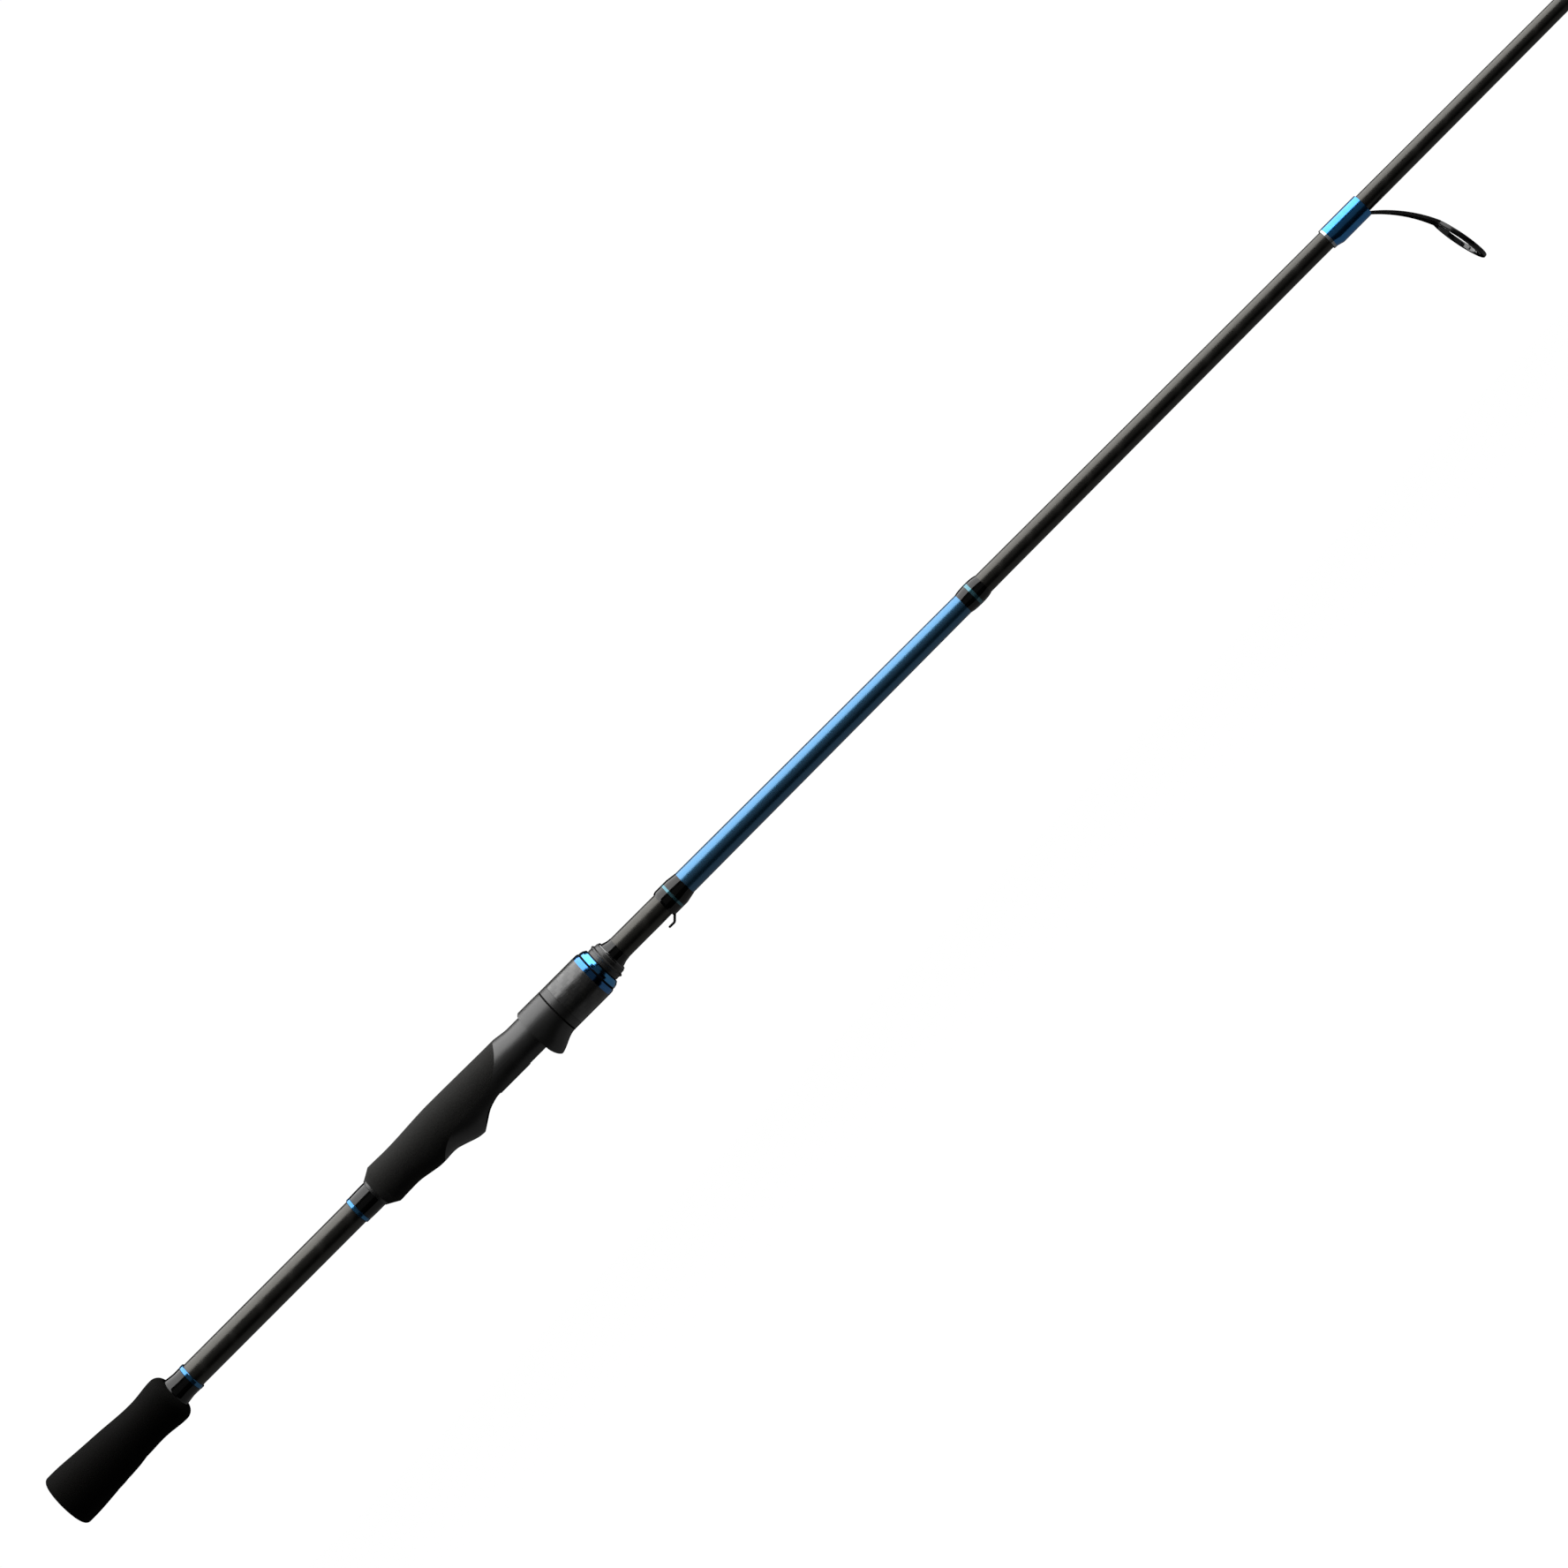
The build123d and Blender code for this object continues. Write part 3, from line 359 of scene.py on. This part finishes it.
def paint_frame():
    blue_dark = (0.020, 0.26, 0.78)
    blue_light = (0.060, 0.44, 1.00)
    assign(graphite(), "blank")
    butt_foam = foam("butt_foam", (0.0010, 0.0009, 0.0007), (0.0030, 0.0026, 0.0021), 0.10, 0.0)
    assign(butt_foam, "butt_grip")
    grip_foam = foam("grip_foam", (0.0104, 0.0102, 0.0094), (0.0225, 0.0220, 0.0205), 0.22, 0.05)
    assign(grip_foam, "rear_grip")
    black = wound_thread("black_thread", (0.0010, 0.0010, 0.0010), (0.0045, 0.0045, 0.0045), gloss=0.1)
    assign(black, "butt_wrap", "rear_wrap", "fore_wrap", "keeper_wrap", "label_end_wrap")
    plastic = moulded_plastic()
    assign(plastic, "rear_winding_check", "reel_seat", "moving_hood", "nut_core", "front_collar")
    assign(carbon_weave(), "nut_pattern_sleeve")
    assign(anodised("blue_anodised", (0.030, 0.20, 0.58), (0.085, 0.33, 0.76)), "nut_rear_ring")
    assign(anodised("bright_anodised", (0.060, 0.38, 0.95), (0.130, 0.54, 1.00)), "nut_front_ring")
    assign(
        wound_thread("blue_trim", (0.010, 0.12, 0.34), (0.08, 0.42, 0.80), metallic=0.9),
        "butt_trim_ring", "rear_trim_ring",
    )
    assign(
        wound_thread("blue_thread", blue_dark, blue_light, metallic=0.95),
        *each_guide("wrap"), "tip_top_wrap",
    )
    assign(
        wound_thread("pale_thread", (0.03, 0.13, 0.17), (0.15, 0.42, 0.52), metallic=0.75),
        "keeper_trim_ring", "label_end_ring",
    )
    assign(
        wound_thread("silver_thread", (0.45, 0.50, 0.55), (0.85, 0.88, 0.92), metallic=0.8),
        "guide_trim_bands",
    )
    assign(metallic_lacquer(), "label_sleeve")
    assign(dark_metal("coated_wire", (0.018, 0.018, 0.019), 0.3, 0.45), "hook_keeper")
    assign(
        dark_metal("gunsmoke", (0.035, 0.034, 0.034), 0.2, 0.34),
        *each_guide("frame"), "tip_top_frame",
    )
    assign(ceramic(), *each_guide("ring"), "tip_top_ring")
    assign(rigid_foam(), "seat_arbor_rear", "seat_arbor_middle", "seat_arbor_front")


# ---------------------------------------------------------------- bands of painted shade in the seams, and bead
def turned_ring(name, outline, material, body):
    """Closed ring turned round the rod's axis from an outline of (station, radius) points."""
    corners = []
    faces = []
    count = len(outline)
    for step in range(RING_SEGMENTS):
        angle = tau * step / RING_SEGMENTS
        here = step * count
        there = (step + 1) % RING_SEGMENTS * count
        for index, (station, radius) in enumerate(outline):
            after = (index + 1) % count
            corners.append((station, radius * cos(angle), radius * sin(angle)))
            faces.append((here + index, there + index, there + after, here + after))
    mesh = bpy.data.meshes.new(name)
    mesh.from_pydata(corners, [], faces)
    shape = bmesh.new()
    shape.from_mesh(mesh)
    bmesh.ops.recalc_face_normals(shape, faces=shape.faces)
    shape.to_mesh(mesh)
    shape.free()
    for face in mesh.polygons:
        face.use_smooth = True
    mesh.materials.append(material)
    piece = bpy.data.objects.new(name, mesh)
    bpy.context.scene.collection.objects.link(piece)
    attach(piece, body)


def shade_band_outline(start, end, radius, depth):
    """Flat band with small rounded edges, as points of station and radius."""
    edge = min(SHADE_BAND_EDGE, (end - start) / 4)
    return (
        (start, radius - depth), (start, radius - edge), (start + edge, radius),
        (end - edge, radius), (end, radius - edge), (end, radius - depth),
    )


def bead_outline(station, radius):
    """Round section of a bead, as points of station and radius."""
    turns = [tau * point / BEAD_POINTS for point in range(BEAD_POINTS)]
    return [(station + BEAD_R * cos(turn), radius + BEAD_R * sin(turn)) for turn in turns]


def build_hood_seam_shade(shade_paint):
    """Black band laid in the seam between the moving hood and the nut: painted shade."""
    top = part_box("moving_hood")[1].z - HOOD_SHADE_SUNK
    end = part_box("nut_core")[0].x - HOOD_SHADE_GAP
    seam = shade_band_outline(end - HOOD_SHADE_WIDTH, end, top, HOOD_SHADE_DEPTH)
    turned_ring("hood_seam_shade", seam, shade_paint, "hood")


def build_nut_ring_gap_shade(shade_paint):
    """Black band laid in the gap between the nut's two blue rings: painted shade."""
    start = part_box("nut_rear_ring")[1].x - RING_SHADE_LAP
    front_low, front_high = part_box("nut_front_ring")
    end = front_low.x + RING_SHADE_LAP
    gap = shade_band_outline(start, end, front_high.z - RING_SHADE_SUNK, RING_SHADE_DEPTH)
    turned_ring("nut_ring_gap_shade", gap, shade_paint, "nut")


def build_collar_bead():
    """Small bead of epoxy where the fore wrap leaves the stepped collar."""
    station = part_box("front_collar")[1].x + BEAD_R / 2
    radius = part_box("fore_wrap")[1].z - BEAD_R / 2
    turned_ring("collar_bead", bead_outline(station, radius), epoxy(), "rod")


# ---------------------------------------------------------------- stage, light and camera
def softbox(name, centre, target, size, radiance):
    """Rectangular light whose long side lies along the rod."""
    lamp = bpy.data.lights.new(name, "AREA")
    lamp.shape = "RECTANGLE"
    lamp.size, lamp.size_y = size
    lamp.energy = radiance * pi * size[0] * size[1]
    holder = bpy.data.objects.new(name, lamp)
    bpy.context.scene.collection.objects.link(holder)
    back = (Vector(centre) - Vector(target)).normalized()
    along = Vector((1, 0, 0))
    across = back.cross(along).normalized()
    turn = Matrix((along, across, back)).transposed()
    holder.matrix_world = Matrix.Translation(centre) @ turn.to_4x4()
    holder.visible_camera = False


KEY_LIGHT_Y = -0.09
BOUNCE_Y = 0.32
LAMP_REACH = 0.60               # height of the key light over the rod, and depth of the bounce under it
FILL_Y = -1.2
FILL_Z = 0.10


def build_lights():
    """Long soft lamp over the rod, a weaker one under it and a faint one from the camera's side."""
    key = (ROD_MIDDLE, KEY_LIGHT_Y, LAMP_REACH)
    softbox("key_light", key, (ROD_MIDDLE, KEY_LIGHT_Y, 0), (LIGHT_LENGTH, 1.06), 2.3)
    bounce = (ROD_MIDDLE, BOUNCE_Y, -LAMP_REACH)
    softbox("floor_bounce", bounce, (ROD_MIDDLE, BOUNCE_Y, 0), (LIGHT_LENGTH, 1.40), 0.125)
    fill = (ROD_MIDDLE, FILL_Y, FILL_Z)
    softbox("front_fill", fill, (ROD_MIDDLE, 0, 0), (LIGHT_LENGTH, 0.9), 0.05)


WORLD_STRENGTH = 1.02
FLOOR_HALF = 8.0


def build_stage():
    """White room and pale flat floor, kept out of the rod's shading so the black parts stay black."""
    world = bpy.data.worlds.new("white_room")
    bpy.context.scene.world = world
    world.use_nodes = True
    world.node_tree.nodes["Background"].inputs["Color"].default_value = (1, 1, 1, 1)
    world.node_tree.nodes["Background"].inputs["Strength"].default_value = WORLD_STRENGTH
    world.cycles_visibility.diffuse = False
    world.cycles_visibility.glossy = False

    mesh = bpy.data.meshes.new("floor")
    corners = [(FLOOR_HALF * x, FLOOR_HALF * y, FLOOR_Z) for x, y in ((-1, -1), (1, -1), (1, 1), (-1, 1))]
    mesh.from_pydata(corners, [], [(0, 1, 2, 3)])
    floor = bpy.data.objects.new("floor", mesh)
    bpy.context.scene.collection.objects.link(floor)
    floor.visible_diffuse = False
    floor.visible_glossy = False
    paint = Paint("floor_paper", Roughness=0.9, Emission_Color=(1, 1, 1, 1), Emission_Strength=1.0)
    paint.colour(paint.ramp(paint.noise(40.0), (0.3, (0.86, 0.86, 0.86)), (0.7, (0.9, 0.9, 0.9))))
    mesh.materials.append(paint.material)


# The rod is seen from the -Y side. The camera stands a little towards the tip and turns back to the centre.
VIEW_CENTRE = Vector((0.4520, 0.0, -0.0002))
VIEW_WIDTH = 0.694
VIEW_DISTANCE = 2.4
VIEW_SWING = radians(1.5)
ROD_RISE = radians(45.05)       # slope of the rod in the picture
SENSOR_WIDTH = 36.0             # of the camera, in its own millimetres


def build_camera():
    data = bpy.data.cameras.new("camera")
    camera = bpy.data.objects.new("camera", data)
    bpy.context.scene.collection.objects.link(camera)
    data.sensor_width = SENSOR_WIDTH
    data.lens = SENSOR_WIDTH * VIEW_DISTANCE / VIEW_WIDTH
    data.clip_start = 0.1
    data.clip_end = 60.0
    back = Vector((sin(VIEW_SWING), -cos(VIEW_SWING), 0))
    along = Vector((cos(VIEW_SWING), sin(VIEW_SWING), 0))
    above = Vector((0, 0, 1))
    right = along * cos(ROD_RISE) - above * sin(ROD_RISE)
    up = along * sin(ROD_RISE) + above * cos(ROD_RISE)
    turn = Matrix((right, up, back)).transposed()
    camera.matrix_world = Matrix.Translation(VIEW_CENTRE + back * VIEW_DISTANCE) @ turn.to_4x4()
    bpy.context.scene.camera = camera


paint_frame()
# Painted shade: matt black bands laid in the hood's seam and between the nut's blue rings.
painted_seam_shade = painted_shade_black()
build_hood_seam_shade(painted_seam_shade)
build_nut_ring_gap_shade(painted_seam_shade)
build_collar_bead()
build_stage()
build_lights()
build_camera()
bpy.context.scene.view_settings.view_transform = "Standard"
